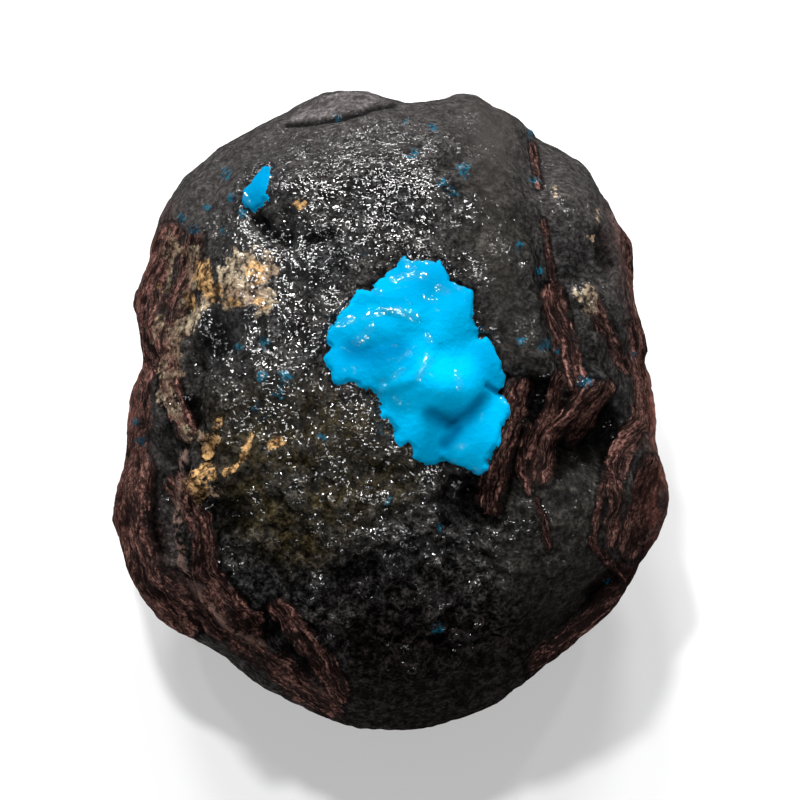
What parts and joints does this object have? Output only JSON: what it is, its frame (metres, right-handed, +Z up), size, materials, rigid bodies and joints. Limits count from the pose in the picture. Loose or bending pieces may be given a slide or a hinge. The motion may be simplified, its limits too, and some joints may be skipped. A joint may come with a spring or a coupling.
{
  "type": "rough turquoise nodule",
  "caption": "Rough turquoise nodule: a lumpy dark brown stone with a smooth blue window on its upper face, resting on a worn flat.",
  "frame": {"origin": "on the plane that the stone rests on, under the middle of its box", "axes": "+Z up, +X to the viewer's right, and the blue window faces up and towards -Y"},
  "size_m": [0.0605, 0.0688, 0.0546],
  "materials": {
    "stone": "dark iron-stained skin, partly wet, with a glossy sky-blue turquoise window"
  },
  "bodies": {
    "root": {"turquoise_nodule": "stone"}
  },
  "joints": []
}
